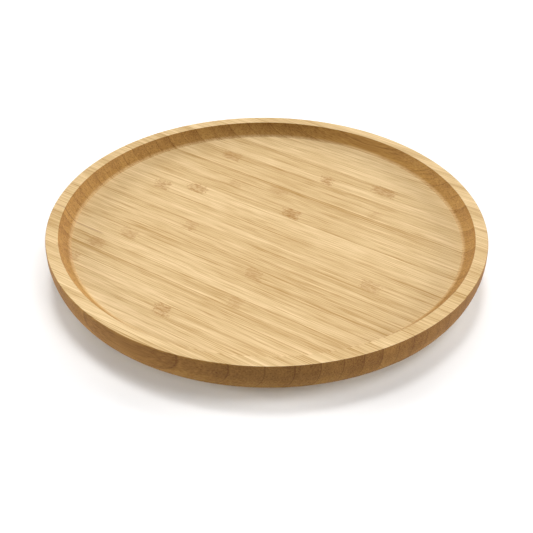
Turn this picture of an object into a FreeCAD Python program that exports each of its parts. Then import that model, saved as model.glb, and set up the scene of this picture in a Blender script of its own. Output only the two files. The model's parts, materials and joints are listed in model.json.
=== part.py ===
import FreeCAD
import Part

import math
import os

# A round bamboo turntable. A shallow tray turns on a square ball bearing that is
# screwed to a small bamboo base with four rubber feet. Millimetres, +Z up. The
# origin is on the table, at the turning axis. The bamboo's grain runs along X.

# ---- driving dimensions ----------------------------------------------------

# tray
tray_diameter = 350.0           # across the rim's top
tray_thickness = 25.0
side_upright = 5.0              # straight part of the side, under the rim
side_tuck = 6.0                 # how much the underside's radius is smaller
rim_width = 10.0                # flat top of the rim
well_depth = 10.0
wall_inset = 9.5                # the well's floor edge from the rim's inner edge
wall_foot_slope = 25.0          # degrees, where the hollow wall leaves the floor
rim_edge_round = 0.8
under_edge_round = 2.0

# base
base_thickness = 8.5
base_edge_round = 1.5
access_hole_diameter = 16.0     # a screwdriver passes through it
tray_to_base_gap = 2.0

# ball bearing
plate_size = 102.0              # square, side to side
plate_thickness = 1.0
plate_corner_radius = 11.0
plate_hole_inset = 7.0          # screw hole's centre from the plate's edges
plate_hole_diameter = 4.8
race_inset = 13.0               # ball circle from the plate's edge
dish_shoulder = 6.0             # raised ring outside the ball circle
dish_slope = 2.4                # radial run of the pressed slope
ball_diameter = 4.76
ball_count = 24
cage_width = 8.8
cage_thickness = 1.4
collar_inset = 10.0             # collar's outside from the ball circle
collar_wall = 0.8
collar_lip = 3.5                # how far its rolled lips stand out

# screws
screw_diameter = 4.0
screw_head_diameter = 7.6
screw_head_height = 2.1
screw_tip_length = 2.0
screw_recess_span = 3.6
screw_recess_width = 0.9
screw_recess_depth = 1.2

# rubber feet
foot_count = 4
foot_diameter = 18.0
foot_height = 5.0
foot_seat_depth = 2.5           # let into the base
foot_taper = 1.0
foot_edge_round = 0.7
foot_edge_margin = 7.0          # foot to the base's edge
foot_plate_gap = 7.5            # foot to the bearing plate's corners
foot_web = 1.8                  # rubber under its screw's head

# clearances and covers
ball_gap = 0.04                 # ball to groove
ball_pocket_gap = 0.12          # ball to cage
cage_gap = 0.5                  # cage to plates
groove_back_gap = 0.58          # pressed groove's back to the wood
collar_gap = 0.3                # collar to the turning plate
plate_recess_gap = 4.0          # plate's corners to the tray's recess
foot_seat_gap = 0.15
screw_cover = 2.0               # wood left beyond a screw's tip

# ---- worked out from them --------------------------------------------------

ball_radius = ball_diameter / 2
groove_radius = ball_radius + ball_gap
bearing_height = 2 * (groove_radius + plate_thickness + groove_back_gap)
shoulder_height = bearing_height / 2 - cage_thickness / 2 - cage_gap
race_radius = plate_size / 2 - race_inset
collar_radius = race_radius - collar_inset

plate_hole_offset = plate_size / 2 - plate_hole_inset
plate_hole_circle = plate_hole_offset * math.sqrt(2)
plate_corner_offset = plate_size / 2 - plate_corner_radius
plate_reach = plate_corner_offset * math.sqrt(2) + plate_corner_radius

recess_radius = plate_reach + plate_recess_gap
recess_depth = bearing_height - tray_to_base_gap

base_bottom = foot_height - foot_seat_depth
base_top = base_bottom + base_thickness
ball_level = base_top + bearing_height / 2
bearing_top = base_top + bearing_height
tray_bottom = base_top + tray_to_base_gap
tray_top = tray_bottom + tray_thickness
well_floor = tray_top - well_depth

tray_radius = tray_diameter / 2
rim_inner_radius = tray_radius - rim_width
foot_circle = plate_reach + foot_plate_gap + foot_diameter / 2
base_radius = foot_circle + foot_diameter / 2 + foot_edge_margin
foot_web_level = foot_height - foot_web

tray_screw_length = well_floor - bearing_top - screw_cover + plate_thickness
base_screw_length = base_thickness - screw_cover + plate_thickness
foot_screw_length = base_top - foot_height - screw_cover + foot_web

UP = FreeCAD.Vector(0, 0, 1)
CENTRE = FreeCAD.Vector(0, 0, 0)


# ---- helpers ---------------------------------------------------------------

def at(radius, height):
    """A point of a turned section: distance from the axis, and height."""
    return FreeCAD.Vector(radius, 0, height)


def line(start, end):
    return Part.LineSegment(start, end).toShape()


def arc(start, middle, end):
    return Part.Arc(start, middle, end).toShape()


def turned(edges):
    """The solid that a closed section makes when it turns once about the axis."""
    section = Part.Face(Part.Wire(Part.__sortEdges__(edges)))
    solid = section.revolve(CENTRE, UP, 360)
    if solid.Volume < 0:
        solid.reverse()
    return solid


def belly(top, bottom):
    """An arc that leaves its top end upright and curves inwards to its bottom end."""
    drop = top.z - bottom.z
    inset = top.x - bottom.x
    radius = (drop * drop + inset * inset) / (2 * inset)
    half_turn = math.asin(drop / radius) / 2
    middle = at(top.x - radius * (1 - math.cos(half_turn)),
                top.z - radius * math.sin(half_turn))
    return arc(top, middle, bottom)


def hollow(foot, top, foot_slope):
    """An arc that leaves its foot at a slope and gets steeper up to its top."""
    rise = math.atan2(top.z - foot.z, top.x - foot.x)
    half_turn = rise - foot_slope
    sag = foot.distanceToPoint(top) / 2 * math.tan(half_turn / 2)
    middle = (foot + top) / 2 + at(sag * math.sin(rise), -sag * math.cos(rise))
    return arc(foot, middle, top)


def chain(points):
    """Straight edges from point to point."""
    return [line(start, end) for start, end in zip(points, points[1:])]


def polygon(points):
    return chain([*points, points[0]])


def cylinder(radius, bottom, top, x=0.0, y=0.0):
    return Part.makeCylinder(radius, top - bottom, FreeCAD.Vector(x, y, bottom), UP)


def rim_edges(solid, radius, height):
    """The round edges of a solid at one radius and height."""
    found = []
    for edge in solid.Edges:
        curve = edge.Curve
        if not isinstance(curve, Part.Circle):
            continue
        if abs(curve.Radius - radius) < 0.01 and abs(curve.Center.z - height) < 0.01:
            found.append(edge)
    return found


def upright_edges(solid):
    return [edge for edge in solid.Edges if edge.BoundBox.ZLength > 0.01]


def rounded(solid, radius, places):
    """Rounds the circular edges at the given (radius, height) places."""
    edges = []
    for place in places:
        edges += rim_edges(solid, *place)
    return solid.makeFillet(radius, edges)


def on_circle(radius, count, first_angle):
    """Points evenly spaced round the axis."""
    points = []
    for index in range(count):
        angle = math.radians(first_angle + index * 360 / count)
        points.append((radius * math.cos(angle), radius * math.sin(angle)))
    return points


def plate_hole_points():
    return on_circle(plate_hole_circle, 4, 45)


def foot_points():
    return on_circle(foot_circle, foot_count, 45)


def save(solid, name):
    """Writes one checked solid to its own file."""
    if len(solid.Solids) != 1 or not solid.isValid():
        raise ValueError(f"{name} is not one valid solid")
    solid.Solids[0].exportStep(f"parts/{name}.step")


# ---- wooden pieces ---------------------------------------------------------

def make_screw_hole(x, y, level, direction, depth):
    """The space a wood screw's shank and point take, from the wood's face inwards."""
    shank = Part.makeCylinder(screw_diameter / 2, depth - screw_tip_length,
                              FreeCAD.Vector(x, y, level), UP * direction)
    tip_base = level + direction * (depth - screw_tip_length)
    tip = Part.makeCone(screw_diameter / 2, 0, screw_tip_length,
                        FreeCAD.Vector(x, y, tip_base), UP * direction)
    return shank.fuse(tip).removeSplitter()


def make_tray():
    wall_foot = at(rim_inner_radius - wall_inset, well_floor)
    wall_top = at(rim_inner_radius, tray_top)
    side_start = at(tray_radius, tray_top - side_upright)
    side_end = at(tray_radius - side_tuck, tray_bottom)
    tray = turned([
        hollow(wall_foot, wall_top, math.radians(wall_foot_slope)),
        *chain([wall_top, at(tray_radius, tray_top), side_start]),
        belly(side_start, side_end),
        *chain([
            side_end,
            at(recess_radius, tray_bottom),
            at(recess_radius, bearing_top),
            at(0, bearing_top),
            at(0, well_floor),
            wall_foot,
        ]),
    ])
    tray = rounded(tray, rim_edge_round, [
        (rim_inner_radius, tray_top),
        (tray_radius, tray_top),
    ])
    tray = rounded(tray, under_edge_round, [(tray_radius - side_tuck, tray_bottom)])
    for x, y in plate_hole_points():
        depth = tray_screw_length - plate_thickness
        tray = tray.cut(make_screw_hole(x, y, bearing_top, 1, depth))
    return tray


def make_base_disc():
    base = cylinder(base_radius, base_bottom, base_top)
    base = rounded(base, base_edge_round, [
        (base_radius, base_bottom),
        (base_radius, base_top),
    ])
    base = base.cut(cylinder(access_hole_diameter / 2, base_bottom, base_top,
                             x=plate_hole_circle))
    seat_radius = foot_diameter / 2 + foot_seat_gap
    for x, y in foot_points():
        base = base.cut(cylinder(seat_radius, base_bottom, foot_height, x, y))
        depth = foot_screw_length - foot_web
        base = base.cut(make_screw_hole(x, y, foot_height, 1, depth))
    for x, y in plate_hole_points():
        depth = base_screw_length - plate_thickness
        base = base.cut(make_screw_hole(x, y, base_top, -1, depth))
    return base


# ---- ball bearing ----------------------------------------------------------

def groove_edges(radius, level, half_height):
    """A groove's arc about the ball's centre, and its two ends at the given level."""
    half_width = math.sqrt(radius ** 2 - half_height ** 2)
    centre_level = level + half_height
    inner = at(race_radius - half_width, level)
    outer = at(race_radius + half_width, level)
    bottom = at(race_radius, centre_level - radius)
    return inner, arc(inner, bottom, outer), outer


def make_pressed_plate(hole_radius):
    """One plate, pressed from sheet: mounting face at height 0, balls above it."""
    face = shoulder_height
    back = shoulder_height - plate_thickness
    ball_height = bearing_height / 2
    slope_top = race_radius + dish_shoulder
    slope_foot = slope_top + dish_slope

    face_inner, face_groove, face_outer = groove_edges(
        groove_radius, face, ball_height - face)
    back_inner, back_groove, back_outer = groove_edges(
        groove_radius + plate_thickness, back, ball_height - back)
    dish = turned([
        line(at(hole_radius, face), face_inner),
        face_groove,
        line(face_outer, at(slope_top, face)),
        line(at(slope_top, face), at(slope_foot, plate_thickness)),
        line(at(slope_foot, plate_thickness), at(slope_foot, 0)),
        line(at(slope_foot, 0), at(slope_top - plate_thickness / 2, back)),
        line(at(slope_top - plate_thickness / 2, back), back_outer),
        back_groove,
        line(back_inner, at(hole_radius, back)),
        line(at(hole_radius, back), at(hole_radius, face)),
    ])

    flange = Part.makeBox(plate_size, plate_size, plate_thickness,
                          FreeCAD.Vector(-plate_size / 2, -plate_size / 2, 0))
    flange = flange.makeFillet(plate_corner_radius, upright_edges(flange))
    flange = flange.cut(cylinder(slope_foot, 0, plate_thickness))
    plate = flange.fuse(dish).removeSplitter()
    for x, y in plate_hole_points():
        plate = plate.cut(cylinder(plate_hole_diameter / 2, 0, plate_thickness, x, y))
    return plate


def make_lower_plate():
    plate = make_pressed_plate(collar_radius)
    plate.translate(UP * base_top)
    return plate


def make_upper_plate():
    """The same pressing turned over, with a hole that clears the collar."""
    plate = make_pressed_plate(collar_radius + collar_gap)
    plate.rotate(CENTRE, FreeCAD.Vector(1, 0, 0), 180)
    plate.translate(UP * bearing_top)
    return plate


def make_centre_collar():
    """A rolled ring: fast in the lower plate, and it keeps the upper plate on."""
    inside = collar_radius - collar_wall
    lip = collar_radius + collar_lip
    low_lip_top = base_top + shoulder_height - plate_thickness
    low_lip_bottom = low_lip_top - collar_wall
    high_lip_bottom = bearing_top - shoulder_height + plate_thickness + collar_gap
    high_lip_top = high_lip_bottom + collar_wall
    collar = turned(polygon([
        at(inside, low_lip_bottom),
        at(lip, low_lip_bottom),
        at(lip, low_lip_top),
        at(collar_radius, low_lip_top),
        at(collar_radius, high_lip_bottom),
        at(lip, high_lip_bottom),
        at(lip, high_lip_top),
        at(inside, high_lip_top),
    ]))
    return rounded(collar, collar_wall * 0.75, [
        (inside, low_lip_bottom),
        (inside, high_lip_top),
    ])


def make_ball_cage():
    inner = race_radius - cage_width / 2
    outer = race_radius + cage_width / 2
    bottom = ball_level - cage_thickness / 2
    top = ball_level + cage_thickness / 2
    cage = cylinder(outer, bottom, top).cut(cylinder(inner, bottom, top))
    for x, y in on_circle(race_radius, ball_count, 0):
        cage = cage.cut(cylinder(ball_radius + ball_pocket_gap, bottom, top, x, y))
    return cage


def make_ball(x, y):
    return Part.makeSphere(ball_radius, FreeCAD.Vector(x, y, ball_level))


# ---- fasteners and feet ----------------------------------------------------

def make_screw(length):
    """A pan-head wood screw: the head's underside at height 0, the point upwards."""
    head = cylinder(screw_head_diameter / 2, -screw_head_height, 0)
    head = rounded(head, screw_head_height * 0.6, [
        (screw_head_diameter / 2, -screw_head_height),
    ])
    for span_x, span_y in ((screw_recess_span, screw_recess_width),
                           (screw_recess_width, screw_recess_span)):
        corner = FreeCAD.Vector(-span_x / 2, -span_y / 2, -screw_head_height)
        head = head.cut(Part.makeBox(span_x, span_y, screw_recess_depth, corner))
    return head.fuse(make_screw_hole(0, 0, 0, 1, length)).removeSplitter()


def place_screw(length, x, y, level, points_up):
    screw = make_screw(length)
    if not points_up:
        screw.rotate(CENTRE, FreeCAD.Vector(1, 0, 0), 180)
    screw.translate(FreeCAD.Vector(x, y, level))
    return screw


def make_foot(x, y):
    """A rubber foot with a deep seat for its screw's head."""
    foot = turned(polygon([
        at(screw_diameter / 2, foot_height),
        at(foot_diameter / 2, foot_height),
        at(foot_diameter / 2, base_bottom),
        at(foot_diameter / 2 - foot_taper, 0),
        at(screw_head_diameter / 2 + foot_seat_gap, 0),
        at(screw_head_diameter / 2 + foot_seat_gap, foot_web_level),
        at(screw_diameter / 2, foot_web_level),
    ]))
    foot = rounded(foot, foot_edge_round, [(foot_diameter / 2 - foot_taper, 0)])
    foot.translate(FreeCAD.Vector(x, y, 0))
    return foot


# ---- the assembly ----------------------------------------------------------

def main():
    os.makedirs("parts", exist_ok=True)

    save(make_tray(), "tray")
    save(make_upper_plate(), "upper_plate")
    save(make_lower_plate(), "lower_plate")
    save(make_centre_collar(), "centre_collar")
    save(make_ball_cage(), "ball_cage")
    save(make_base_disc(), "base_disc")

    for number, (x, y) in enumerate(on_circle(race_radius, ball_count, 0), start=1):
        save(make_ball(x, y), f"ball_{number:02d}")

    for number, (x, y) in enumerate(foot_points(), start=1):
        save(make_foot(x, y), f"foot_{number}")
        screw = place_screw(foot_screw_length, x, y, foot_web_level, points_up=True)
        save(screw, f"foot_screw_{number}")

    for number, (x, y) in enumerate(plate_hole_points(), start=1):
        tray_screw = place_screw(tray_screw_length, x, y,
                                 bearing_top - plate_thickness, points_up=True)
        base_screw = place_screw(base_screw_length, x, y,
                                 base_top + plate_thickness, points_up=False)
        save(tray_screw, f"tray_screw_{number}")
        save(base_screw, f"base_screw_{number}")


main()
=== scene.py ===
import json
import math

import bmesh
import bpy
from bpy.props import FloatProperty, FloatVectorProperty, IntProperty, PointerProperty
from mathutils import Matrix, Vector


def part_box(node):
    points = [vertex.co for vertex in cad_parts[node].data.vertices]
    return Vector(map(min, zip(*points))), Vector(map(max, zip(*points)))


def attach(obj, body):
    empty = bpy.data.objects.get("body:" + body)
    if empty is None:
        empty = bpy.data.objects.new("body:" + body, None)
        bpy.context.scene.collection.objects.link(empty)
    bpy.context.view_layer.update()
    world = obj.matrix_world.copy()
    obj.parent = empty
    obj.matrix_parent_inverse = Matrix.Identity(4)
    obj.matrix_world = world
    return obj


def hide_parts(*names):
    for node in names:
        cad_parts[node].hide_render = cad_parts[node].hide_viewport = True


bl_info = {
    "name": "Bamboo Turntable",
    "version": (1, 0, 0),
    "blender": (4, 5, 0),
    "location": "3D Viewport > Sidebar > Turntable",
    "description": "Builds a bamboo turntable: tray, ball bearing, base, feet and screws",
    "category": "Object",
}

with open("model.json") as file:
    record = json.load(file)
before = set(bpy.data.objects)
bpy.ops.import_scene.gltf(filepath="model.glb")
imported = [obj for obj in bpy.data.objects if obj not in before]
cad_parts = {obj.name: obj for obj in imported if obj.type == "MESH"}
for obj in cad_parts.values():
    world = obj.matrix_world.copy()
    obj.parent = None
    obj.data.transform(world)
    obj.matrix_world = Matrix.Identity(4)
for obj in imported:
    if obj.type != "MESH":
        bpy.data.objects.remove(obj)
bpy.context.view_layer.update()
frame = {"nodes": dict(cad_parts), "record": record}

MM = 0.001
TAU = 2 * math.pi

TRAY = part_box("tray")
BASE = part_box("base_disc")
UPPER_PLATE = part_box("upper_plate")
LOWER_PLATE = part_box("lower_plate")
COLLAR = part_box("centre_collar")
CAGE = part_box("ball_cage")
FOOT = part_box("foot_1")
FOOT_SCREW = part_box("foot_screw_1")
TRAY_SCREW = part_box("tray_screw_1")
BASE_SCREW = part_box("base_screw_1")
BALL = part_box("ball_01")
BALL_COUNT = sum(name.startswith("ball_") and name[-1].isdigit() for name in frame["nodes"])
CORNERS = (1, 2, 3, 4)

# sides of round shapes, and steps of arcs and rounds
PILOT_SIDES = 24
HOLE_SIDES = 32
SCREW_SIDES = 48
SEAT_SIDES = 48
FOOT_SIDES = 64
PLATE_SIDES = 144
CAGE_SIDES = 192
ARC_STEPS = 10
ROUND_STEPS = 6
# two vertices closer than this are one, and a vertex this near to a height or radius is on it
WELD = 1e-7
NEAR = 1e-6


def mount_place(name):
    """Where the record puts one of its mounts."""
    for mount in frame["record"]["mounts"]:
        if mount["name"] == name:
            return Vector(mount["pos_m"])
    raise KeyError(name)


def middle(box):
    return (box[0] + box[1]) / 2


def span(box):
    return box[1] - box[0]


def radius_of(box):
    """The largest round shape about the turning axis that stays inside a node's box."""
    return min(-box[0].x, -box[0].y, box[1].x, box[1].y)


WELL_FLOOR = mount_place("tray_floor").z
TRAY_TOP = TRAY[1].z
PLATE_TOP = UPPER_PLATE[1].z
RACE_RADIUS = middle(BALL).xy.length


# ---- settings --------------------------------------------------------------

def size_in_mm(name, description, millimetres):
    return FloatProperty(name=name, description=description, default=millimetres * MM,
                         unit='LENGTH')


def angle_in_degrees(name, description, degrees):
    return FloatProperty(name=name, description=description, default=math.radians(degrees),
                         subtype='ANGLE')


def tint_colour(name, description, rgb):
    return FloatVectorProperty(name=name, description=description, default=rgb,
                               subtype='COLOR', size=3, min=0, max=1)


class TraySettings(bpy.types.PropertyGroup):
    """Sizes of the tray's turned section."""
    rim_width: size_in_mm("Rim Width", "Flat top of the rim", 10.0)
    side_upright: size_in_mm("Side Upright", "Straight part of the side, under the rim", 5.0)
    side_tuck: size_in_mm("Side Tuck", "How much smaller the underside's radius is", 6.0)
    wall_inset: size_in_mm("Wall Inset", "The well's floor edge from the rim's inner edge", 9.5)
    wall_foot_slope: angle_in_degrees(
        "Wall Foot Slope", "Where the hollow wall leaves the floor", 25)
    rim_round: size_in_mm("Rim Edge Round", "Sanded round on the rim's two edges", 0.8)
    under_round: size_in_mm("Lower Edge Round", "Round on the underside's edge", 2.0)
    recess_radius: size_in_mm("Recess Radius", "Round recess for the bearing", 71.5)


class BearingSettings(bpy.types.PropertyGroup):
    """Sizes of the ball bearing's pressed and rolled pieces."""
    sheet: size_in_mm("Sheet", "Thickness of the pressed plates", 1.0)
    corner_radius: size_in_mm("Corner Radius", "Round of the plates' corners", 11.0)
    hole_inset: size_in_mm("Hole Inset", "Screw hole's centre from the plate's edges", 7.0)
    hole_radius: size_in_mm("Hole Radius", "Screw holes in the plates", 2.4)
    dish_shoulder: size_in_mm("Dish Shoulder", "Raised ring outside the ball circle", 6.0)
    dish_slope: size_in_mm("Dish Slope", "Radial run of the pressed slope", 2.4)
    ball_gap: size_in_mm("Ball Gap", "Ball to groove", 0.04)
    pocket_gap: size_in_mm("Pocket Gap", "Ball to cage", 0.12)
    collar_gap: size_in_mm("Collar Gap", "Collar to the turning plate", 0.3)
    collar_wall: size_in_mm("Collar Wall", "Thickness of the rolled collar", 0.8)
    collar_lip: size_in_mm("Collar Lip", "How far the collar's lips stand out", 3.5)


class BaseSettings(bpy.types.PropertyGroup):
    """Sizes of the base board, its feet and the screws."""
    edge_round: size_in_mm("Edge Round", "Round on the base's two edges", 1.5)
    access_radius: size_in_mm("Access Hole Radius", "The hole a screwdriver passes through", 8.0)
    foot_gap: size_in_mm("Foot Gap", "Foot to its seat in the base", 0.15)
    foot_taper: size_in_mm("Foot Taper", "How much smaller the foot's sole is", 1.0)
    foot_web: size_in_mm("Foot Web", "Rubber under the screw's head", 1.8)
    foot_round: size_in_mm("Foot Edge Round", "Round on the foot's sole", 0.7)
    shank_radius: size_in_mm("Shank Radius", "Screw's thread, outside", 2.0)
    thread_pitch: size_in_mm("Thread Pitch", "Screw's rise in one turn", 1.6)
    tip_length: size_in_mm("Tip Length", "Screw's point", 2.0)
    head_height: size_in_mm("Head Height", "Screw's pan head", 2.1)
    recess_span: size_in_mm("Recess Span", "Cross recess from tip to tip", 3.6)
    recess_width: size_in_mm("Recess Width", "Breadth of the cross recess's arms", 0.9)
    recess_depth: size_in_mm("Recess Depth", "Depth of the cross recess", 1.2)


class BambooSettings(bpy.types.PropertyGroup):
    """Colours and grain of the laminated bamboo, and the painted shade of its turned sides."""
    strip_width: size_in_mm("Strip Width", "Width of one glued strip", 12.3)
    strip_start: size_in_mm("Strip Start", "Where a glue line passes the turning axis", 2.3)
    pale: tint_colour("Pale Fibre", "Lightest strips and streaks", (0.745, 0.553, 0.302))
    deep: tint_colour("Deep Fibre", "Darkest strips and streaks", (0.325, 0.168, 0.022))
    joint: tint_colour(
        "Joint Mark", "The cane's joints, seen as brown patches", (0.32, 0.15, 0.028))
    # cut: partly oil soaked into the cut fibres, partly painted shade on steep turned surfaces
    cut: tint_colour(
        "Cut Sides Oil And Shade", "Tint of turned sides, where the oil soaks in", (0.50, 0.36, 0.148))
    # painted shade: a further darkening of the upright sides, for the shade they stand in
    upright: tint_colour(
        "Upright Sides Shade", "Further tint of the sides that stand upright", (0.76, 0.70, 0.66))


class StageSettings(bpy.types.PropertyGroup):
    """Camera and light."""
    azimuth: angle_in_degrees("Azimuth", "Camera's direction round the object", 34)
    elevation: angle_in_degrees("Elevation", "Camera's height angle over the rim", 33.61)
    dip: angle_in_degrees("Dip", "How far the camera looks below the rim's middle", 2.42)
    roll: angle_in_degrees("Roll", "Camera's lean", 0.58)
    distance: FloatProperty(
        name="Distance", description="Camera to the middle of the rim",
        default=0.856, unit='LENGTH')
    lens: FloatProperty(
        name="Lens", description="Focal length in millimetres",
        default=72.2, min=1)
    sensor: FloatProperty(
        name="Sensor", description="Width of the camera's sensor in millimetres",
        default=36.0, min=1)
    backdrop: FloatProperty(
        name="Backdrop", description="Brightness behind the floor's far edge",
        default=1.0, min=0)
    level: FloatProperty(
        name="Level", description="Strength of all the soft boxes together",
        default=1.0, min=0)
    steps: IntProperty(
        name="Turning Steps", description="Sides of a large turned piece",
        default=288, min=48)


# ---- shader node helpers ---------------------------------------------------

class Graph:
    """Adds shader nodes to a tree; a value given to a socket may be a number or a link."""

    def __init__(self, tree):
        self.tree = tree

    def feed(self, socket, value):
        if isinstance(value, bpy.types.NodeSocket):
            self.tree.links.new(value, socket)
        elif value is not None:
            socket.default_value = value

    def node(self, kind, inputs=None, **settings):
        made = self.tree.nodes.new("ShaderNode" + kind)
        for name, value in settings.items():
            setattr(made, name, value)
        for name, value in (inputs or {}).items():
            self.feed(made.inputs[name], value)
        return made

    def math(self, operation, *values, clamp=False):
        made = self.node("Math", operation=operation, use_clamp=clamp)
        for index, value in enumerate(values):
            self.feed(made.inputs[index], value)
        return made.outputs[0]

    def scale(self, vector, factor):
        made = self.node("VectorMath", operation='SCALE')
        self.feed(made.inputs[0], vector)
        self.feed(made.inputs["Scale"], factor)
        return made.outputs[0]

    def split(self, vector):
        made = self.node("SeparateXYZ", {"Vector": vector})
        return made.outputs[0], made.outputs[1], made.outputs[2]

    def join(self, x, y, z):
        return self.node("CombineXYZ", {"X": x, "Y": y, "Z": z}).outputs[0]

    def stretched(self, x, y, z, size):
        """Coordinates that count in a pattern's own size along, across and through the grain."""
        return self.join(self.math('DIVIDE', x, size[0]), self.math('DIVIDE', y, size[1]),
                         self.math('DIVIDE', z, size[2]))

    def strongest(self, masks):
        """The highest of the masks at each place, or None if there are no masks."""
        best = None
        for mask in masks:
            best = mask if best is None else self.math('MAXIMUM', best, mask)
        return best

    def noise(self, vector, scale=1.0, detail=2.0, roughness=0.5):
        made = self.node("TexNoise", {"Vector": vector, "Scale": scale, "Detail": detail,
                                      "Roughness": roughness})
        return made.outputs[0]

    def step(self, value, low, high, out_low=0.0, out_high=1.0):
        """A smooth step from out_low at low to out_high at high."""
        made = self.node("MapRange", {"Value": value, "From Min": low, "From Max": high,
                                      "To Min": out_low, "To Max": out_high},
                         interpolation_type='SMOOTHSTEP')
        return made.outputs[0]

    def blend(self, factor, first, second, mode='MIX'):
        made = self.node("Mix", data_type='RGBA', blend_type=mode)
        self.feed(made.inputs["Factor"], factor)
        self.feed(made.inputs[6], first)
        self.feed(made.inputs[7], second)
        return made.outputs[2]

    def tinted(self, mask, base, tint):
        """A colour multiplied by a tint where the mask is on."""
        return self.blend(mask, base, self.blend(1.0, base, tint, 'MULTIPLY'))


def colour(rgb):
    return (*rgb, 1.0)


def new_group(name, inputs, outputs):
    """An empty node group: inputs are (name, kind, default), outputs (name, kind)."""
    tree = bpy.data.node_groups.new(name, "ShaderNodeTree")
    for label, kind, default in inputs:
        socket = tree.interface.new_socket(label, in_out='INPUT', socket_type=kind)
        if default is not None:
            socket.default_value = default
    for label, kind in outputs:
        tree.interface.new_socket(label, in_out='OUTPUT', socket_type=kind)
    graph = Graph(tree)
    start = tree.nodes.new("NodeGroupInput")
    end = tree.nodes.new("NodeGroupOutput")
    return graph, start.outputs, end.inputs


def placed_group(graph, group, inputs):
    made = graph.tree.nodes.new("ShaderNodeGroup")
    made.node_tree = group
    for name, value in inputs.items():
        graph.feed(made.inputs[name], value)
    return made.outputs


def new_material(name):
    """A material with a Principled shader, and the piece's own coordinates."""
    material = bpy.data.materials.new(name)
    material.use_nodes = True
    tree = material.node_tree
    tree.nodes.clear()
    graph = Graph(tree)
    shader = graph.node("BsdfPrincipled")
    output = graph.node("OutputMaterial")
    tree.links.new(shader.outputs[0], output.inputs["Surface"])
    place = graph.node("TexCoord")
    return material, graph, shader.inputs, place.outputs


def bump(graph, height, distance, strength=1.0):
    made = graph.node("Bump", {"Height": height, "Distance": distance, "Strength": strength})
    return made.outputs[0]


# ---- node groups -----------------------------------------------------------

FLOAT = 'NodeSocketFloat'
COLOR = 'NodeSocketColor'
VECTOR = 'NodeSocketVector'


# a joint's mark: its lean across the strip, and how far its ends and sides wander, in mm
MARK_LEAN = 0.25
MARK_WANDER = 16.0
MARK_SIDE_WANDER = 6.0


def joint_mark_group():
    """One brown patch where the cane had a joint: it fills its strip's width."""
    graph, given, result = new_group("joint_mark", [
        ("Place", VECTOR, None),
        ("Wobble", FLOAT, 0.0),
        ("Along", FLOAT, 0.0),
        ("Across", FLOAT, 0.0),
        ("Length", FLOAT, 12.0),
        ("Width", FLOAT, 12.0),
        ("Side Wobble", FLOAT, 0.0),
    ], [("Patch", FLOAT), ("Rim", FLOAT)])
    x, y, _ = graph.split(given["Place"])
    across = graph.math('SUBTRACT', y, given["Across"])
    past_side = graph.math('SUBTRACT', graph.math('ABSOLUTE', across),
                           graph.math('MULTIPLY', given["Width"], 0.5))
    past_side = graph.math('MULTIPLY_ADD', given["Wobble"], given["Side Wobble"], past_side)
    in_strip = graph.step(past_side, -0.8, 0.1, 1.0, 0.0)
    along = graph.math('SUBTRACT', x, given["Along"])
    along = graph.math('MULTIPLY_ADD', across, MARK_LEAN, along)
    along = graph.math('MULTIPLY_ADD', given["Wobble"], MARK_WANDER, along)
    past_end = graph.math('SUBTRACT', graph.math('ABSOLUTE', along),
                          graph.math('MULTIPLY', given["Length"], 0.5))
    patch = graph.math('MULTIPLY', graph.step(past_end, -4.0, 3.0, 1.0, 0.0), in_strip)
    rim = graph.math('MULTIPLY', graph.step(graph.math('ABSOLUTE', past_end), 0.2, 1.6, 1.0, 0.0),
                     in_strip)
    graph.feed(result["Patch"], patch)
    graph.feed(result["Rim"], rim)
    return graph.tree


# sizes of the grain's patterns along, across and through the board, in millimetres
GRAIN_SIZE = {
    "broad": (190.0, 3.6, 7.0),
    "streak": (70.0, 0.75, 1.4),
    "hair": (26.0, 0.52, 0.42),
    "cloud": (95.0, 60.0, 60.0),
    "vessel": (26.0, 1.15, 1.15),
    "fleck": (4.6, 1.5, 2.5),
}
# how much each of them deepens the colour, from a middle depth
GRAIN_DEPTH = {
    "middle": 0.31, "tone": 0.20, "lean": 0.42, "broad": 0.55, "streak": 1.30, "hair": 1.05,
    "cloud": 0.35, "vessel": 0.16, "glue": 0.30,
}
# how much each stands up from the surface, or sinks in below 0
GRAIN_RELIEF = {"streak": 0.6, "hair": 0.4, "glue": -0.5, "vessel": -0.25}
# how far apart along the cane two strips may have been cut, in millimetres
STRIP_SHIFT = 370.0
# how strongly a cut end shows its glue lines and vessels, and how dark a split is
END_GLUE = 0.35
END_VESSEL = 0.55
SPLIT_DARKNESS = 0.6
# roughness of the palest fibre, and what dark streaks and cut sides add to it
WOOD_ROUGHNESS = 0.42
STREAK_ROUGHNESS = 0.16
CUT_ROUGHNESS = 0.22


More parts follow.
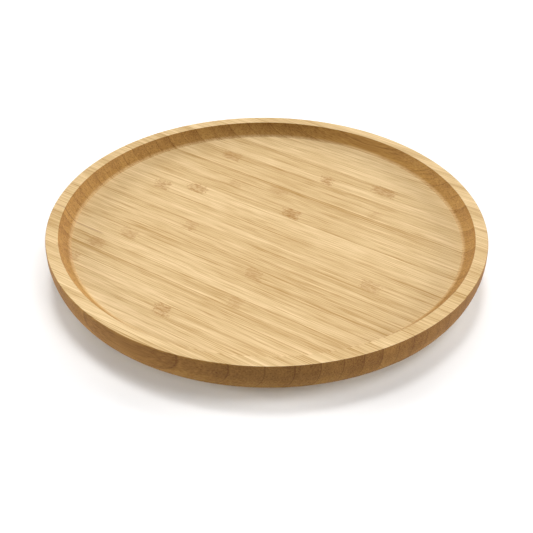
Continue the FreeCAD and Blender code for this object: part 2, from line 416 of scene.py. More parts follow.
def bamboo_group():
    """Side-by-side strips of bamboo, solid through the board, with the grain along X."""
    graph, given, result = new_group("bamboo_grain", [
        ("Vector", VECTOR, None),
        ("Normal", VECTOR, None),
        ("Strip Width", FLOAT, 12.3),
        ("Strip Start", FLOAT, 2.3),
        ("Seed", FLOAT, 0.0),
        ("Pale", COLOR, None),
        ("Deep", COLOR, None),
        ("Joint", COLOR, None),
        ("Cut", COLOR, None),
        ("Upright", COLOR, None),
        ("Patch", FLOAT, 0.0),
        ("Patch Rim", FLOAT, 0.0),
        ("Split", FLOAT, 0.0),
    ], [("Color", COLOR), ("Roughness", FLOAT), ("Height", FLOAT)])
    x, y, z = graph.split(given["Vector"])

    strip = graph.math('DIVIDE', graph.math('SUBTRACT', y, given["Strip Start"]),
                       given["Strip Width"])
    number = graph.math('FLOOR', strip)
    across = graph.math('FRACT', strip)
    chance = graph.node("TexWhiteNoise", {"W": graph.math('ADD', number, given["Seed"])},
                        noise_dimensions='1D')
    tone, shift, lean = graph.split(chance.outputs["Color"])
    slid = graph.math('ADD', x, graph.math('MULTIPLY', shift, STRIP_SHIFT))

    broad = graph.noise(graph.stretched(slid, y, z, GRAIN_SIZE["broad"]), 1.0, 2.0, 0.55)
    streak = graph.noise(graph.stretched(slid, y, z, GRAIN_SIZE["streak"]), 1.0, 3.0, 0.6)
    hair = graph.noise(graph.stretched(slid, y, z, GRAIN_SIZE["hair"]), 1.0, 2.0, 0.6)
    cloud = graph.noise(graph.stretched(x, y, z, GRAIN_SIZE["cloud"]), 1.0, 1.0, 0.5)

    # the vessels: dots on a cut end, fine dashes along the grain
    cells = graph.node("TexVoronoi", {
        "Vector": graph.stretched(slid, y, z, GRAIN_SIZE["vessel"]),
        "Scale": 1.0, "Randomness": 0.9}, feature='F1')
    vessel = graph.step(cells.outputs["Distance"], 0.16, 0.42, 1.0, 0.0)

    # how deep the colour is, 0 for pale and 1 for deep
    depth = graph.math('MULTIPLY_ADD', tone, GRAIN_DEPTH["tone"], GRAIN_DEPTH["middle"])
    slope = graph.math('MULTIPLY', graph.math('SUBTRACT', across, 0.5),
                       graph.math('SUBTRACT', lean, 0.35))
    depth = graph.math('MULTIPLY_ADD', slope, GRAIN_DEPTH["lean"], depth)
    for name, pattern in (("broad", broad), ("streak", streak), ("hair", hair), ("cloud", cloud)):
        swing = graph.math('SUBTRACT', pattern, 0.5)
        depth = graph.math('MULTIPLY_ADD', swing, GRAIN_DEPTH[name], depth)
    depth = graph.math('MULTIPLY_ADD', vessel, GRAIN_DEPTH["vessel"], depth)

    # a thin glue line between strips
    edge = graph.math('MULTIPLY', graph.math('MINIMUM', across,
                                             graph.math('SUBTRACT', 1.0, across)),
                      given["Strip Width"])
    glue = graph.step(edge, 0.05, 0.42, 1.0, 0.0)
    depth = graph.math('MULTIPLY_ADD', glue, GRAIN_DEPTH["glue"], depth, clamp=True)
    wood = graph.blend(depth, given["Pale"], given["Deep"])

    # joints of the cane
    fleck = graph.noise(graph.stretched(x, y, z, GRAIN_SIZE["fleck"]), 1.0, 3.0, 0.6)
    patch = graph.math('MULTIPLY', given["Patch"], graph.step(fleck, 0.38, 0.66, 0.22, 0.95))
    rim = graph.math('MULTIPLY', given["Patch Rim"], graph.step(fleck, 0.42, 0.58, 0.0, 0.75))
    wood = graph.blend(graph.math('MAXIMUM', patch, rim, clamp=True), wood, given["Joint"])

    # steep sides: partly oil soaked into the cut fibres, partly painted shade; cut ends show
    # vessels as dots
    normal_x, _, normal_z = graph.split(given["Normal"])
    level = graph.math('ABSOLUTE', normal_z)
    steep = graph.step(level, 0.965, 0.80)
    upright = graph.step(level, 0.45, 0.15)
    # the cut tint is partly the finish and partly painted shade where the walls and sides turn away
    # from the light
    wood = graph.tinted(steep, wood, given["Cut"])
    # painted shade: the upright sides are darkened further
    wood = graph.tinted(upright, wood, given["Upright"])
    end_on = graph.math('MULTIPLY', graph.math('ABSOLUTE', normal_x), steep)
    marks = graph.math('MAXIMUM', graph.math('MULTIPLY', glue, END_GLUE),
                       graph.math('MULTIPLY', vessel, END_VESSEL))
    dots = graph.math('MULTIPLY', end_on, marks)
    wood = graph.tinted(dots, wood, given["Deep"])
    split = graph.math('MULTIPLY', given["Split"], SPLIT_DARKNESS)
    wood = graph.tinted(split, wood, given["Joint"])

    graph.feed(result["Color"], wood)
    gloss = graph.math('MULTIPLY_ADD', streak, STREAK_ROUGHNESS, WOOD_ROUGHNESS)
    graph.feed(result["Roughness"], graph.math('MULTIPLY_ADD', steep, CUT_ROUGHNESS, gloss))
    ridge = 0.0
    for name, pattern in (("streak", streak), ("hair", hair), ("glue", glue), ("vessel", vessel)):
        ridge = graph.math('MULTIPLY_ADD', pattern, GRAIN_RELIEF[name], ridge)
    graph.feed(result["Height"], ridge)
    return graph.tree


def mottle_group():
    """Uneven tone and gloss: a base colour with soft clouds and fine specks."""
    graph, given, result = new_group("mottle", [
        ("Vector", VECTOR, None),
        ("Color", COLOR, None),
        ("Cloud Size", FLOAT, 8.0),
        ("Speck Size", FLOAT, 0.6),
        ("Variation", FLOAT, 0.12),
        ("Roughness", FLOAT, 0.4),
        ("Gloss Variation", FLOAT, 0.1),
    ], [("Color", COLOR), ("Roughness", FLOAT), ("Height", FLOAT)])
    cloud = graph.noise(graph.scale(given["Vector"],
                                    graph.math('DIVIDE', 1.0, given["Cloud Size"])),
                        1.0, 3.0, 0.6)
    speck = graph.noise(graph.scale(given["Vector"],
                                    graph.math('DIVIDE', 1.0, given["Speck Size"])),
                        1.0, 2.0, 0.7)
    mixed = graph.math('MULTIPLY_ADD', speck, 0.4, graph.math('MULTIPLY', cloud, 0.6))
    swing = graph.math('MULTIPLY', graph.math('SUBTRACT', mixed, 0.5), 2.0)
    factor = graph.math('MULTIPLY_ADD', swing, given["Variation"], 1.0)
    graph.feed(result["Color"], graph.scale(given["Color"], factor))
    graph.feed(result["Roughness"], graph.math(
        'MULTIPLY_ADD', swing, given["Gloss Variation"], given["Roughness"], clamp=True))
    graph.feed(result["Height"], mixed)
    return graph.tree


# ---- materials -------------------------------------------------------------

# joints that show on the tray: strip number, place along the grain, length, strength
TRAY_JOINTS = (
    (8, 48, 19, 0.8), (7, -2, 9, 1.0), (6, -94, 15, 0.7), (5, 59, 9, 0.35),
    (4, -27, 16, 0.35), (3, -64, 9, 0.4), (2, 2, 15, 1.0), (1, -86, 16, 0.9),
    (0, -114, 13, 0.85), (-2, 105, 13, 0.65), (-3, -56, 10, 0.6), (-5, 24, 12, 0.65),
    (-6, -89, 12, 0.55), (-8, -103, 13, 0.6), (-8, 33, 8, 0.45), (-10, -108, 15, 0.65),
    (-11, -6, 11, 0.9),
)
# hairline splits along the grain: middle, place across it, length, breadth
TRAY_SPLITS = ((-141, -77.5, 68, 1.7),)
BASE_JOINTS = (
    (6, -20, 14, 0.6), (4, 52, 12, 0.5), (1, -48, 15, 0.6), (-2, 30, 10, 0.5),
    (-4, -62, 13, 0.6), (-7, 8, 12, 0.5),
)


def bamboo_material(name, look, joints, splits, seed):
    material, graph, shader, place = new_material(name)
    spot = graph.scale(place["Object"], 1 / MM)
    width = look.strip_width / MM
    start = look.strip_start / MM
    wobble = graph.math('SUBTRACT', graph.noise(spot, 0.45, 2.0, 0.6), 0.5)
    patches, rims, cracks = [], [], []
    for strip, along, length, strength in joints:
        mark = placed_group(graph, bpy.data.node_groups["joint_mark"], {
            "Place": spot, "Wobble": wobble, "Along": along,
            "Across": start + (strip + 0.5) * width, "Length": length, "Width": width,
            "Side Wobble": MARK_SIDE_WANDER})
        patches.append(graph.math('MULTIPLY', mark["Patch"], strength))
        rims.append(graph.math('MULTIPLY', mark["Rim"], strength))
    for along, across, length, breadth in splits:
        mark = placed_group(graph, bpy.data.node_groups["joint_mark"], {
            "Place": spot, "Wobble": wobble, "Along": along, "Across": across,
            "Length": length, "Width": breadth})
        cracks.append(mark["Patch"])
    grain = placed_group(graph, bpy.data.node_groups["bamboo_grain"], {
        "Vector": spot, "Normal": place["Normal"], "Strip Width": width,
        "Strip Start": start, "Seed": seed, "Pale": colour(look.pale),
        "Deep": colour(look.deep), "Joint": colour(look.joint), "Cut": colour(look.cut),
        "Upright": colour(look.upright), "Patch": graph.strongest(patches),
        "Patch Rim": graph.strongest(rims), "Split": graph.strongest(cracks)})
    graph.feed(shader["Base Color"], grain["Color"])
    graph.feed(shader["Roughness"], grain["Roughness"])
    graph.feed(shader["Normal"], bump(graph, grain["Height"], 0.12 * MM, 0.6))
    shader["Specular IOR Level"].default_value = 0.25
    return material


def mottled_material(name, rgb, roughness, metallic=0.0, cloud=8.0, speck=0.6,
                     variation=0.12, gloss=0.1, relief=0.01, coat=0.0):
    """Metal, plastic or rubber with an uneven tone, gloss and surface."""
    material, graph, shader, place = new_material(name)
    spot = graph.scale(place["Object"], 1 / MM)
    mottle = placed_group(graph, bpy.data.node_groups["mottle"], {
        "Vector": spot, "Color": colour(rgb), "Cloud Size": cloud, "Speck Size": speck,
        "Variation": variation, "Roughness": roughness, "Gloss Variation": gloss})
    graph.feed(shader["Base Color"], mottle["Color"])
    graph.feed(shader["Roughness"], mottle["Roughness"])
    graph.feed(shader["Normal"], bump(graph, mottle["Height"], relief * MM, 0.5))
    shader["Metallic"].default_value = metallic
    shader["Coat Weight"].default_value = coat
    return material


class TURNTABLE_OT_materials(bpy.types.Operator):
    """Builds the shared node groups and every material"""
    bl_idname = "turntable.materials"
    bl_label = "Materials"

    def execute(self, context):
        look = context.scene.turntable_bamboo
        joint_mark_group()
        bamboo_group()
        mottle_group()
        bamboo_material("tray_bamboo", look, TRAY_JOINTS, TRAY_SPLITS, seed=11.0)
        bamboo_material("base_bamboo", look, BASE_JOINTS, (), seed=47.0)
        mottled_material("zinc_sheet", (0.58, 0.60, 0.60), 0.36, metallic=1.0, cloud=5.0,
                         variation=0.10, gloss=0.10)
        mottled_material("rolled_steel", (0.62, 0.62, 0.60), 0.30, metallic=1.0)
        mottled_material("ball_steel", (0.74, 0.74, 0.75), 0.10, metallic=1.0, cloud=2.0,
                         variation=0.05, gloss=0.05, relief=0.002)
        mottled_material("cage_nylon", (0.72, 0.70, 0.62), 0.48, cloud=4.0,
                         variation=0.06, relief=0.02)
        mottled_material("foot_rubber", (0.030, 0.029, 0.028), 0.72, cloud=3.0,
                         speck=0.35, variation=0.25, relief=0.05)
        mottled_material("screw_zinc", (0.60, 0.57, 0.48), 0.32, metallic=1.0, cloud=1.5,
                         speck=0.3)
        return {'FINISHED'}


# ---- mesh helpers ----------------------------------------------------------

def edge_loop(edges, radius=None, height=None):
    """The edges whose two ends lie at a radius from the axis, at a height, or both."""
    found = []
    for edge in edges:
        ends = [vert.co for vert in edge.verts]
        if height is not None and any(abs(co.z - height) > NEAR for co in ends):
            continue
        if radius is not None and any(abs(co.xy.length - radius) > NEAR for co in ends):
            continue
        found.append(edge)
    return found


def spun(bm, section, steps):
    """Turns an open section of (radius, height) points once about the axis."""
    verts = [bm.verts.new((radius, 0, height)) for radius, height in section]
    edges = [bm.edges.new(pair) for pair in zip(verts, verts[1:])]
    bmesh.ops.spin(bm, geom=verts + edges, cent=(0, 0, 0), axis=(0, 0, 1), dvec=(0, 0, 0),
                   angle=TAU, steps=steps, use_merge=True, use_duplicate=False)
    bmesh.ops.remove_doubles(bm, verts=bm.verts, dist=WELD)


def round_ring(bm, radius, height, round_radius, segments=ROUND_STEPS):
    """Rounds the turned edge at one radius and height with a true arc."""
    edges = [e for e in edge_loop(bm.edges, radius, height) if len(e.link_faces) == 2]
    turn = edges[0].calc_face_angle()
    bmesh.ops.bevel(bm, geom=edges, offset=round_radius * math.tan(turn / 2),
                    offset_type='OFFSET', affect='EDGES', segments=segments, profile=0.5,
                    material=-1, clamp_overlap=True)


def arc_points(start, end, direction):
    """Points of an arc after its start, which it leaves in a direction, up to its end."""
    across, up = end[0] - start[0], end[1] - start[1]
    half_turn = math.remainder(math.atan2(up, across) - direction, TAU)
    radius = math.hypot(across, up) / (2 * math.sin(half_turn))
    points = []
    for index in range(1, ARC_STEPS + 1):
        angle = direction + 2 * half_turn * index / ARC_STEPS
        points.append((start[0] + radius * (math.sin(angle) - math.sin(direction)),
                       start[1] + radius * (math.cos(direction) - math.cos(angle))))
    return points


def edges_round(verts):
    """Every edge that meets these vertices, once each and always in the same order."""
    return list(dict.fromkeys(edge for vert in verts for edge in vert.link_edges))


def loop_verts(loop):
    """The vertices of a loop of edges, once each and always in the same order."""
    return list(dict.fromkeys(vert for edge in loop for vert in edge.verts))


def circle(bm, radius, height, steps, x=0.0, y=0.0):
    """A loop of edges; returns them."""
    made = bmesh.ops.create_circle(bm, cap_ends=False, radius=radius, segments=steps,
                                   matrix=Matrix.Translation((x, y, height)))
    return edges_round(made["verts"])


def fill(bm, *loops):
    """A flat face inside the first loop, with the other loops as holes in it."""
    edges = [edge for loop in loops for edge in loop]
    bmesh.ops.triangle_fill(bm, use_beauty=True, use_dissolve=False, edges=edges)


def copy_loop(bm, loop, rise):
    """The same loop at another height."""
    made = bmesh.ops.duplicate(bm, geom=loop_verts(loop) + list(loop))
    new_verts = [item for item in made["geom"] if isinstance(item, bmesh.types.BMVert)]
    bmesh.ops.translate(bm, verts=new_verts, vec=(0, 0, rise))
    return [item for item in made["geom"] if isinstance(item, bmesh.types.BMEdge)]


def wall(bm, first, second):
    bmesh.ops.bridge_loops(bm, edges=list(first) + list(second))


def turn_over(bm):
    bmesh.ops.rotate(bm, verts=bm.verts, cent=(0, 0, 0), matrix=Matrix.Rotation(TAU / 2, 3, 'X'))


def drilled(bm, loop, depth, tip):
    """A blind hole from a loop, straight and then to a point; depth is signed."""
    verts = loop_verts(loop)
    centre = sum((vert.co for vert in verts), Vector()) / len(verts)
    rise = math.copysign(abs(depth) - tip, depth)
    lower = copy_loop(bm, loop, rise)
    wall(bm, loop, lower)
    peak = bm.verts.new(centre + Vector((0, 0, depth)))
    for edge in lower:
        bm.faces.new((edge.verts[0], edge.verts[1], peak))


def finish_piece(name, bm, body, nodes, material, crease=40.0):
    """Makes the object, shades it, hangs it from its body's empty and hides the parts it stands
    for.
    """
    bmesh.ops.remove_doubles(bm, verts=bm.verts, dist=WELD)
    bmesh.ops.dissolve_degenerate(bm, dist=WELD, edges=bm.edges)
    bmesh.ops.recalc_face_normals(bm, faces=bm.faces)
    mesh = bpy.data.meshes.new(name)
    bm.to_mesh(mesh)
    bm.free()
    mesh.shade_smooth()
    mesh.set_sharp_from_angle(angle=math.radians(crease))
    mesh.materials.append(bpy.data.materials[material])
    piece = bpy.data.objects.new(name, mesh)
    bpy.context.scene.collection.objects.link(piece)
    weighted = piece.modifiers.new("even_shading", 'WEIGHTED_NORMAL')
    weighted.keep_sharp = True
    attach(piece, body)
    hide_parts(*nodes)
    return piece


# ---- wooden pieces ---------------------------------------------------------

class TURNTABLE_OT_tray(bpy.types.Operator):
    """Turns the tray board, with its well, rim and bearing recess"""
    bl_idname = "turntable.tray"
    bl_label = "Tray Board"

    def execute(self, context):
        size = context.scene.turntable_tray
        fixing = context.scene.turntable_base
        bearing = context.scene.turntable_bearing
        steps = context.scene.turntable_stage.steps
        outer = radius_of(TRAY)
        inner = outer - size.rim_width
        low = TRAY[0].z
        foot = (inner - size.wall_inset, WELL_FLOOR)
        tuck = (outer - size.side_tuck, low)
        upright_end = (outer, TRAY_TOP - size.side_upright)
        bm = bmesh.new()
        spun(bm, [(0, WELL_FLOOR), foot,
                  *arc_points(foot, (inner, TRAY_TOP), size.wall_foot_slope),
                  (outer, TRAY_TOP), upright_end,
                  *arc_points(upright_end, tuck, -TAU / 4),
                  (size.recess_radius, low), (size.recess_radius, PLATE_TOP)], steps)
        round_ring(bm, inner, TRAY_TOP, size.rim_round)
        round_ring(bm, outer, TRAY_TOP, size.rim_round)
        round_ring(bm, tuck[0], low, size.under_round)
        round_ring(bm, size.recess_radius, low, size.rim_round / 2, 5)
        ceiling = edge_loop(bm.edges, size.recess_radius, PLATE_TOP)
        holes = pilot_circles(bm, bearing, fixing.shank_radius, PLATE_TOP)
        fill(bm, ceiling, *holes)
        for hole in holes:
            drilled(bm, hole, TRAY_SCREW[1].z - PLATE_TOP, fixing.tip_length)
        finish_piece("tray_board", bm, "tray", ["tray"], "tray_bamboo",
                     crease=18)
        return {'FINISHED'}


class TURNTABLE_OT_base(bpy.types.Operator):
    """Cuts the round base board, with its foot seats and access hole"""
    bl_idname = "turntable.base"
    bl_label = "Base Board"

    def execute(self, context):
        size = context.scene.turntable_base
        bearing = context.scene.turntable_bearing
        steps = context.scene.turntable_stage.steps // 2
        outer = radius_of(BASE)
        low, high = BASE[0].z, BASE[1].z
        seat_radius = span(FOOT).x / 2 + size.foot_gap
        seat_top = FOOT[1].z
        rim = outer - size.edge_round * 2
        bm = bmesh.new()
        spun(bm, [(rim, high), (outer, high), (outer, low), (rim, low)], steps)
        round_ring(bm, outer, high, size.edge_round)
        round_ring(bm, outer, low, size.edge_round)
        top_rim = edge_loop(bm.edges, rim, high)
        low_rim = edge_loop(bm.edges, rim, low)

        x, y = access_hole_place(bearing)
        top_access = circle(bm, size.access_radius, high, SEAT_SIDES, x, y)
        low_access = copy_loop(bm, top_access, low - high)
        wall(bm, top_access, low_access)

        pilots = pilot_circles(bm, bearing, size.shank_radius, high)
        fill(bm, top_rim, top_access, *pilots)
        for pilot in pilots:
            drilled(bm, pilot, BASE_SCREW[0].z - high, size.tip_length)

        centres = [middle(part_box(f"foot_{number}")) for number in CORNERS]
        seats = [circle(bm, seat_radius, low, SEAT_SIDES, at.x, at.y) for at in centres]
        fill(bm, low_rim, low_access, *seats)
        for at, seat in zip(centres, seats):
            top = copy_loop(bm, seat, seat_top - low)
            wall(bm, seat, top)
            pilot = circle(bm, size.shank_radius, seat_top, PILOT_SIDES, at.x, at.y)
            fill(bm, top, pilot)
            drilled(bm, pilot, FOOT_SCREW[1].z - seat_top, size.tip_length)
        finish_piece("base_board", bm, "base", ["base_disc"], "base_bamboo")
        return {'FINISHED'}


# ---- ball bearing ----------------------------------------------------------

def plate_hole_places(bearing):
    """The four screw holes of a bearing plate, at 45 degrees and so on."""
    offset = span(LOWER_PLATE).x / 2 - bearing.hole_inset
    return [(offset, offset), (-offset, offset), (-offset, -offset), (offset, -offset)]


def pilot_circles(bm, bearing, radius, height):
    """The mouths of the four holes that the plate's screws cut into the wood."""
    return [circle(bm, radius, height, PILOT_SIDES, x, y) for x, y in plate_hole_places(bearing)]


def access_hole_place(bearing):
    x, y = plate_hole_places(bearing)[0]
    return math.hypot(x, y), 0.0


def groove_points(radius, level, centre_height):
    """Points of a groove's arc about the ball's centre, from its inner to its outer edge."""
    open_angle = math.acos((centre_height - level) / radius)
    points = []
    for index in range(ARC_STEPS + 1):
        angle = open_angle * (2 * index / ARC_STEPS - 1)
        points.append((RACE_RADIUS + radius * math.sin(angle),
                       centre_height - radius * math.cos(angle)))
    return points


def pressed_plate(bm, bearing, hole_radius):
    """A square plate pressed from sheet, mounting face at height 0 and balls above."""
    sheet = bearing.sheet
    rise = span(LOWER_PLATE).z
    ball_height = middle(BALL).z - LOWER_PLATE[0].z
    groove = span(BALL).z / 2 + bearing.ball_gap
    slope_top = RACE_RADIUS + bearing.dish_shoulder
    slope_foot = slope_top + bearing.dish_slope
    face = groove_points(groove, rise, ball_height)
    back = groove_points(groove + sheet, rise - sheet, ball_height)
    spun(bm, [(slope_foot, sheet), (slope_top, rise), *reversed(face),
              (hole_radius, rise), (hole_radius, rise - sheet), *back,
              (slope_top - sheet / 2, rise - sheet), (slope_foot - sheet / 2, 0)],
         PLATE_SIDES)
    top_ring = edge_loop(bm.edges, slope_foot, sheet)
    low_ring = edge_loop(bm.edges, slope_foot - sheet / 2, 0)

    half = span(LOWER_PLATE).x / 2
    square = bmesh.ops.create_circle(
        bm, cap_ends=False, radius=half * math.sqrt(2), segments=4,
        matrix=Matrix.Translation((0, 0, sheet)) @ Matrix.Rotation(TAU / 8, 4, 'Z'))
    bmesh.ops.bevel(bm, geom=square["verts"], offset=bearing.corner_radius,
                    offset_type='OFFSET', affect='VERTICES', segments=ARC_STEPS, profile=0.5,
                    material=-1)
    outline = [e for e in bm.edges if not e.link_faces
               and all(v.co.xy.length > slope_foot + sheet / 2 for v in e.verts)]
    loops = [outline]
    for x, y in plate_hole_places(bearing):
        loops.append(circle(bm, bearing.hole_radius, sheet, HOLE_SIDES, x, y))
    low_loops = [copy_loop(bm, loop, -sheet) for loop in loops]
    fill(bm, loops[0], top_ring, *loops[1:])
    fill(bm, low_loops[0], low_ring, *low_loops[1:])
    for upper, lower in zip(loops, low_loops):
        wall(bm, upper, lower)


class TURNTABLE_OT_bearing(bpy.types.Operator):
    """Makes the two pressed plates, the rolled collar, the cage and the balls"""
    bl_idname = "turntable.bearing"
    bl_label = "Ball Bearing"

    def execute(self, context):
        bearing = context.scene.turntable_bearing
        self.make_plates(bearing)
        self.make_collar(bearing)
        self.make_cage(bearing)
        self.make_balls()
        return {'FINISHED'}

    def make_plates(self, bearing):
        collar_radius = radius_of(COLLAR) - bearing.collar_lip
        cut_edge = bearing.sheet * 0.18
        bm = bmesh.new()
        pressed_plate(bm, bearing, collar_radius)
        bmesh.ops.translate(bm, verts=bm.verts, vec=(0, 0, LOWER_PLATE[0].z))
        self.finish_metal("lower_bearing_plate", bm, "base", "lower_plate", "zinc_plate",
                          "zinc_sheet", cut_edge)
        bm = bmesh.new()
        pressed_plate(bm, bearing, collar_radius + bearing.collar_gap)
        turn_over(bm)
        bmesh.ops.translate(bm, verts=bm.verts, vec=(0, 0, UPPER_PLATE[1].z))
        self.finish_metal("upper_bearing_plate", bm, "tray", "upper_plate", "zinc_plate",
                          "zinc_sheet", cut_edge)

    def make_collar(self, bearing):
        lip = radius_of(COLLAR)
        outside = lip - bearing.collar_lip
        thick = bearing.collar_wall
        inside = outside - thick
        low, high = COLLAR[0].z, COLLAR[1].z
        bm = bmesh.new()
        spun(bm, [(inside, low), (lip, low), (lip, low + thick), (outside, low + thick),
                  (outside, high - thick), (lip, high - thick), (lip, high), (inside, high),
                  (inside, low)], PLATE_SIDES)
        for height in (low, high):
            round_ring(bm, inside, height, thick * 0.75, 4)
        for height in (low, low + thick, high - thick, high):
            round_ring(bm, lip, height, thick * 0.3, 2)
        finish_piece("bearing_collar", bm, "base", ["centre_collar"],
                     "rolled_steel")

    def make_cage(self, bearing):
        low, high = CAGE[0].z, CAGE[1].z
        outer = radius_of(CAGE)
        inner = 2 * RACE_RADIUS - outer
        pocket = span(BALL).z / 2 + bearing.pocket_gap
        bm = bmesh.new()
        loops = [circle(bm, outer, high, CAGE_SIDES), circle(bm, inner, high, CAGE_SIDES)]
        for index in range(BALL_COUNT):
            angle = TAU * index / BALL_COUNT
            loops.append(circle(bm, pocket, high, PILOT_SIDES, RACE_RADIUS * math.cos(angle),
                                RACE_RADIUS * math.sin(angle)))
        low_loops = [copy_loop(bm, loop, low - high) for loop in loops]
        fill(bm, *loops)
        fill(bm, *low_loops)
        for upper, lower in zip(loops, low_loops):
            wall(bm, upper, lower)
        self.finish_metal("ball_cage_ring", bm, "cage", "ball_cage", "cage_nylon",
                          "cage_nylon", 0.12 * MM)

    def make_balls(self):
        radius = span(BALL).z / 2
        for number in range(1, BALL_COUNT + 1):
            node = f"ball_{number:02d}"
            bm = bmesh.new()
            bmesh.ops.create_icosphere(bm, subdivisions=4, radius=radius,
                                       matrix=Matrix.Translation(middle(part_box(node))))
            finish_piece(f"steel_{node}", bm, "cage", [node], "ball_steel")

    def finish_metal(self, name, bm, body, node, slot, material, edge):
        """A flat piece whose cut edges are eased."""
        piece = finish_piece(name, bm, body, [node], material)
        eased = piece.modifiers.new("eased_edges", 'BEVEL')
        eased.width = edge
        eased.segments = 2
        eased.limit_method = 'ANGLE'
        eased.angle_limit = math.radians(50)
        piece.modifiers.move(1, 0)


# ---- feet and screws -------------------------------------------------------

class TURNTABLE_OT_feet(bpy.types.Operator):
    """Moulds the four rubber feet"""
    bl_idname = "turntable.feet"
    bl_label = "Rubber Feet"

    def execute(self, context):
        size = context.scene.turntable_base
        outer = span(FOOT).x / 2
        sole = outer - size.foot_taper
        head_seat = span(FOOT_SCREW).x / 2 + size.foot_gap
        top = FOOT[1].z
        web = top - size.foot_web
        for number in CORNERS:
            node = f"foot_{number}"
            bm = bmesh.new()
            spun(bm, [(size.shank_radius, top), (outer, top), (outer, BASE[0].z),
                      (sole, 0), (head_seat, 0), (head_seat, web),
                      (size.shank_radius, web), (size.shank_radius, top)], FOOT_SIDES)
            round_ring(bm, sole, 0, size.foot_round, 5)
            round_ring(bm, head_seat, 0, size.foot_round / 3, 3)
            centre = middle(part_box(node))
            bmesh.ops.translate(bm, verts=bm.verts, vec=(centre.x, centre.y, 0))
            finish_piece(f"rubber_{node}", bm, "base", [node], "foot_rubber")
        return {'FINISHED'}


# a screw's parts as shares: core of its outside, crown's flat of its head, core that the
# thread's foot reaches into, thread's foot and run-in of its pitch, recess's floor of its mouth
CORE_SHARE = 0.72
FLAT_SHARE = 0.62
CROWN_ROUND = 0.6
THREAD_ROOT = 0.9
THREAD_FOOT = 0.28
THREAD_START = 0.6
RECESS_TAPER = 0.72


def cross_recess(bm, head_ring, height, arm, width, depth):
    """A cross-shaped driver recess that narrows towards its floor.

    It also draws in the core's ring at height 0, so the head is hollow on its hidden side.
    """
    made = bmesh.ops.create_circle(bm, cap_ends=True, radius=width / math.sqrt(2), segments=4,
                                   matrix=Matrix.Rotation(TAU / 8, 4, 'Z'))
    for side in edges_round(made["verts"]):
        outward = (side.verts[0].co + side.verts[1].co).normalized() * (arm - width) / 2
        grown = bmesh.ops.extrude_edge_only(bm, edges=[side])
        tips = [item for item in grown["geom"] if isinstance(item, bmesh.types.BMVert)]
        bmesh.ops.translate(bm, verts=tips, vec=outward)
    floor_verts = [vert for vert in bm.verts if abs(vert.co.z) < 1e-9 and vert.co.xy.length < arm]
    bmesh.ops.translate(bm, verts=floor_verts, vec=(0, 0, height))
    outline = [edge for edge in bm.edges if len(edge.link_faces) == 1
               and all(vert in floor_verts for vert in edge.verts)]
    mouth = copy_loop(bm, outline, 0)
    fill(bm, head_ring, mouth)
    bmesh.ops.translate(bm, verts=floor_verts, vec=(0, 0, depth))
    bmesh.ops.scale(bm, verts=floor_verts, vec=(RECESS_TAPER, RECESS_TAPER, 1))
    wall(bm, mouth, outline)


def threaded_screw(size, head_radius, length):
    """A pan-head screw: its head's underside at height 0, its point upwards."""
    bm = bmesh.new()
    core = size.shank_radius * CORE_SHARE
    straight = length - size.tip_length
    flat = head_radius * FLAT_SHARE
    crown = -size.head_height
    spun(bm, [(flat, crown), (head_radius, crown), (head_radius, 0), (core, 0),
              (core, straight), (0, length)], SCREW_SIDES)
    round_ring(bm, head_radius, crown, size.head_height * CROWN_ROUND, 5)
    head_ring = edge_loop(bm.edges, flat, crown)
    cross_recess(bm, head_ring, crown, size.recess_span, size.recess_width, size.recess_depth)

    thread = bmesh.new()
    root = core * THREAD_ROOT
    half = size.thread_pitch * THREAD_FOOT
    start = size.thread_pitch * THREAD_START
    ridge = [thread.verts.new(place) for place in (
        (root, 0, start - half), (size.shank_radius, 0, start), (root, 0, start + half))]
    thread.faces.new(ridge)
    turns = max(1.0, (straight - 2 * start) / size.thread_pitch)
    steps = int(turns * PILOT_SIDES)
    bmesh.ops.spin(thread, geom=list(thread.verts) + list(thread.edges) + list(thread.faces),
                   cent=(0, 0, 0), axis=(0, 0, 1),
                   dvec=(0, 0, turns * size.thread_pitch / steps),
                   angle=TAU * turns, steps=steps, use_merge=False, use_duplicate=False)
    mesh = bpy.data.meshes.new("thread")
    thread.to_mesh(mesh)
    thread.free()
    bm.from_mesh(mesh)
    bpy.data.meshes.remove(mesh)
    return bm


class TURNTABLE_OT_screws(bpy.types.Operator):
    """Turns the screws of the feet, the tray and the base"""
    bl_idname = "turntable.screws"
    bl_label = "Screws"

    def execute(self, context):
        size = context.scene.turntable_base
        for node, body in (("foot_screw", "base"), ("tray_screw", "tray"),
                           ("base_screw", "base")):
            for number in CORNERS:
                self.make_screw(size, f"{node}_{number}", body, node != "base_screw")
        return {'FINISHED'}

    def make_screw(self, size, node, body, points_up):
        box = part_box(node)
        length = span(box).z - size.head_height
        bm = threaded_screw(size, span(box).x / 2, length)
        seat = box[0].z + size.head_height
        if not points_up:
            turn_over(bm)
            seat = box[1].z - size.head_height
        centre = middle(box)
        bmesh.ops.translate(bm, verts=bm.verts, vec=(centre.x, centre.y, seat))
        finish_piece(f"pan_head_{node}", bm, body, [node], "screw_zinc")


# ---- stage -----------------------------------------------------------------

# soft boxes: bearing from the camera's side, height angle and spread in degrees, strength
SOFT_BOXES = (
    ("overhead", 188, 80, 14, 1.02),
    ("front", 0, 48, 26, 0.54),
    ("front_right", 60, 66, 24, 0.78),
    ("back_high", 180, 48, 26, 0.60),
    ("back_left_high", 240, 66, 24, 0.19),
    ("right", 94, 12, 22, 3.00),
    ("back_right", 150, 12, 20, 1.28),
    ("back_left", 212, 12, 20, 1.12),
    ("left", 270, 12, 20, 2.60),
)
FLOOR_HALF = 30.0
FLOOR_WHITE = (0.92, 0.92, 0.92)


def direction_of(turn, height):
    """Points from the object to a place round it, at a height angle; turn 0 is towards -Y."""
    flat = math.cos(height)
    return Vector((math.sin(turn) * flat, -math.cos(turn) * flat, math.sin(height)))


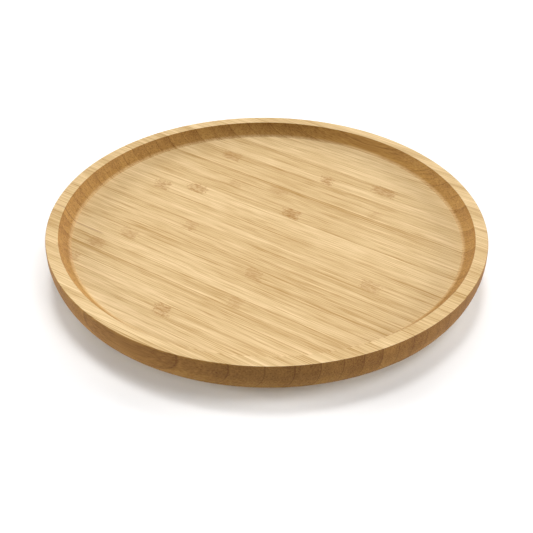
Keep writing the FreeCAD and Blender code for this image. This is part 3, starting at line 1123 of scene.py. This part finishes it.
class TURNTABLE_OT_stage(bpy.types.Operator):
    """Sets the pale floor, the soft light and the camera"""
    bl_idname = "turntable.stage"
    bl_label = "Stage"

    def execute(self, context):
        look = context.scene.turntable_stage
        self.make_floor()
        self.make_light(context.scene, look)
        self.make_camera(context.scene, look)
        context.scene.view_settings.view_transform = 'Standard'
        return {'FINISHED'}

    def make_floor(self):
        bm = bmesh.new()
        bmesh.ops.create_grid(bm, x_segments=1, y_segments=1, size=FLOOR_HALF)
        mesh = bpy.data.meshes.new("floor")
        bm.to_mesh(mesh)
        bm.free()
        material, graph, shader, place = new_material("floor_paper")
        mottle = placed_group(graph, bpy.data.node_groups["mottle"], {
            "Vector": place["Object"], "Color": colour(FLOOR_WHITE), "Cloud Size": 0.4,
            "Speck Size": 0.01, "Variation": 0.004, "Roughness": 0.9,
            "Gloss Variation": 0.02})
        graph.feed(shader["Base Color"], mottle["Color"])
        graph.feed(shader["Roughness"], mottle["Roughness"])
        shader["Specular IOR Level"].default_value = 0.1
        mesh.materials.append(material)
        floor = bpy.data.objects.new("floor", mesh)
        bpy.context.scene.collection.objects.link(floor)

    def make_light(self, scene, look):
        world = bpy.data.worlds.new("studio")
        world.use_nodes = True
        scene.world = world
        background = world.node_tree.nodes["Background"]
        background.inputs["Color"].default_value = (1, 1, 1, 1)
        background.inputs["Strength"].default_value = look.backdrop
        # only the camera sees the world: it lights nothing and nothing mirrors it
        world.cycles_visibility.diffuse = False
        world.cycles_visibility.glossy = False
        for name, bearing, height, spread, strength in SOFT_BOXES:
            box = bpy.data.lights.new(name, 'SUN')
            box.energy = strength * look.level
            box.angle = math.radians(spread)
            lamp = bpy.data.objects.new(name, box)
            direction = direction_of(look.azimuth + math.radians(bearing), math.radians(height))
            lamp.rotation_mode = 'QUATERNION'
            lamp.rotation_quaternion = direction.to_track_quat('Z', 'Y')
            scene.collection.objects.link(lamp)

    def make_camera(self, scene, look):
        data = bpy.data.cameras.new("camera")
        data.sensor_width = look.sensor
        data.lens = look.lens
        camera = bpy.data.objects.new("camera", data)
        direction = direction_of(look.azimuth, look.elevation)
        target = Vector((0, 0, TRAY_TOP))
        turn = direction.to_track_quat('Z', 'Y').to_matrix()
        turn = turn @ Matrix.Rotation(-look.dip, 3, 'X') @ Matrix.Rotation(look.roll, 3, 'Z')
        camera.matrix_world = Matrix.Translation(target + direction * look.distance) @ turn.to_4x4()
        scene.collection.objects.link(camera)
        scene.camera = camera


# ---- panel and registration ------------------------------------------------

OPERATORS = (
    TURNTABLE_OT_materials,
    TURNTABLE_OT_tray,
    TURNTABLE_OT_base,
    TURNTABLE_OT_bearing,
    TURNTABLE_OT_feet,
    TURNTABLE_OT_screws,
    TURNTABLE_OT_stage,
)


class TURNTABLE_PT_panel(bpy.types.Panel):
    """Lists the turntable's pieces"""
    bl_idname = "TURNTABLE_PT_panel"
    bl_label = "Turntable"
    bl_space_type = 'VIEW_3D'
    bl_region_type = 'UI'
    bl_category = "Turntable"

    def draw(self, context):
        for operator in OPERATORS:
            self.layout.operator(operator.bl_idname)


SETTINGS = {
    "turntable_tray": TraySettings,
    "turntable_bearing": BearingSettings,
    "turntable_base": BaseSettings,
    "turntable_bamboo": BambooSettings,
    "turntable_stage": StageSettings,
}


def register():
    for cls in (*SETTINGS.values(), *OPERATORS, TURNTABLE_PT_panel):
        bpy.utils.register_class(cls)
    for name, cls in SETTINGS.items():
        setattr(bpy.types.Scene, name, PointerProperty(type=cls))


def unregister():
    for name in SETTINGS:
        delattr(bpy.types.Scene, name)
    for cls in (TURNTABLE_PT_panel, *reversed(OPERATORS), *reversed(SETTINGS.values())):
        bpy.utils.unregister_class(cls)


def main():
    register()
    for operator in OPERATORS:
        group, name = operator.bl_idname.split(".")
        getattr(getattr(bpy.ops, group), name)()


if __name__ == "__main__":
    main()
